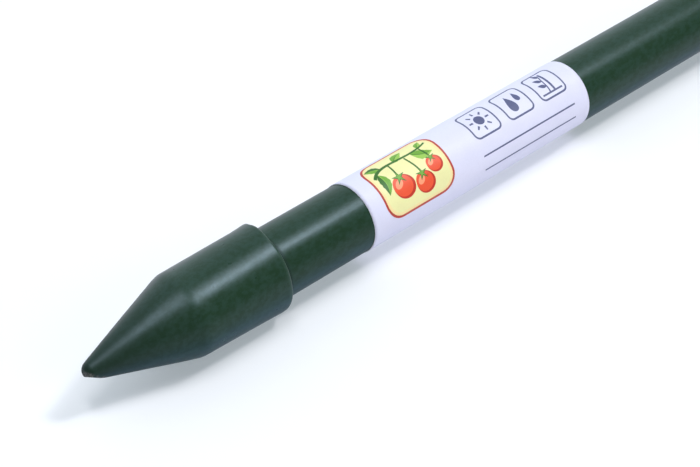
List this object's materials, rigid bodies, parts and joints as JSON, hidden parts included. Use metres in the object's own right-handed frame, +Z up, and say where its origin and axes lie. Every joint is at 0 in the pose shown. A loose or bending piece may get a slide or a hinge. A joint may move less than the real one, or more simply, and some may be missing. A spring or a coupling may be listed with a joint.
{
  "type": "plant stake",
  "caption": "Smooth green plastic-coated steel-tube garden stake with a push-on moulded point, a push-on domed top cap and a wrap-round paper label; holds up plants.",
  "frame": {"origin": "on the supporting surface, under the middle of the stake's length", "axes": "the stake lies along X with its point towards -X and its cap towards +X, +Z up"},
  "size_m": [0.9, 0.0198, 0.0197],
  "materials": {
    "foot_plastic": "satin moulded polyethylene, dark green, scuffed at the nose",
    "coat_plastic": "smooth extruded polyethylene coat, dark green, satin gloss",
    "cap_plastic": "satin moulded polyethylene, dark green",
    "steel": "bare welded steel tube, cut end",
    "label_paper": null
  },
  "bodies": {
    "shaft": {"steel_tube": "steel", "plastic_sheath": "coat_plastic", "wrap_label": "label_paper"},
    "foot": {"foot_spike": "foot_plastic"},
    "cap": {"top_cap": "cap_plastic"}
  },
  "joints": [
    {"name": "foot_pull_off", "type": "slide", "parent": "shaft", "child": "foot", "axis": [-1, 0, 0], "range_m": [0, 0.04]},
    {"name": "top_cap_pull_off", "type": "slide", "parent": "shaft", "child": "cap", "axis": [1, 0, 0], "range_m": [0, 0.04]}
  ]
}
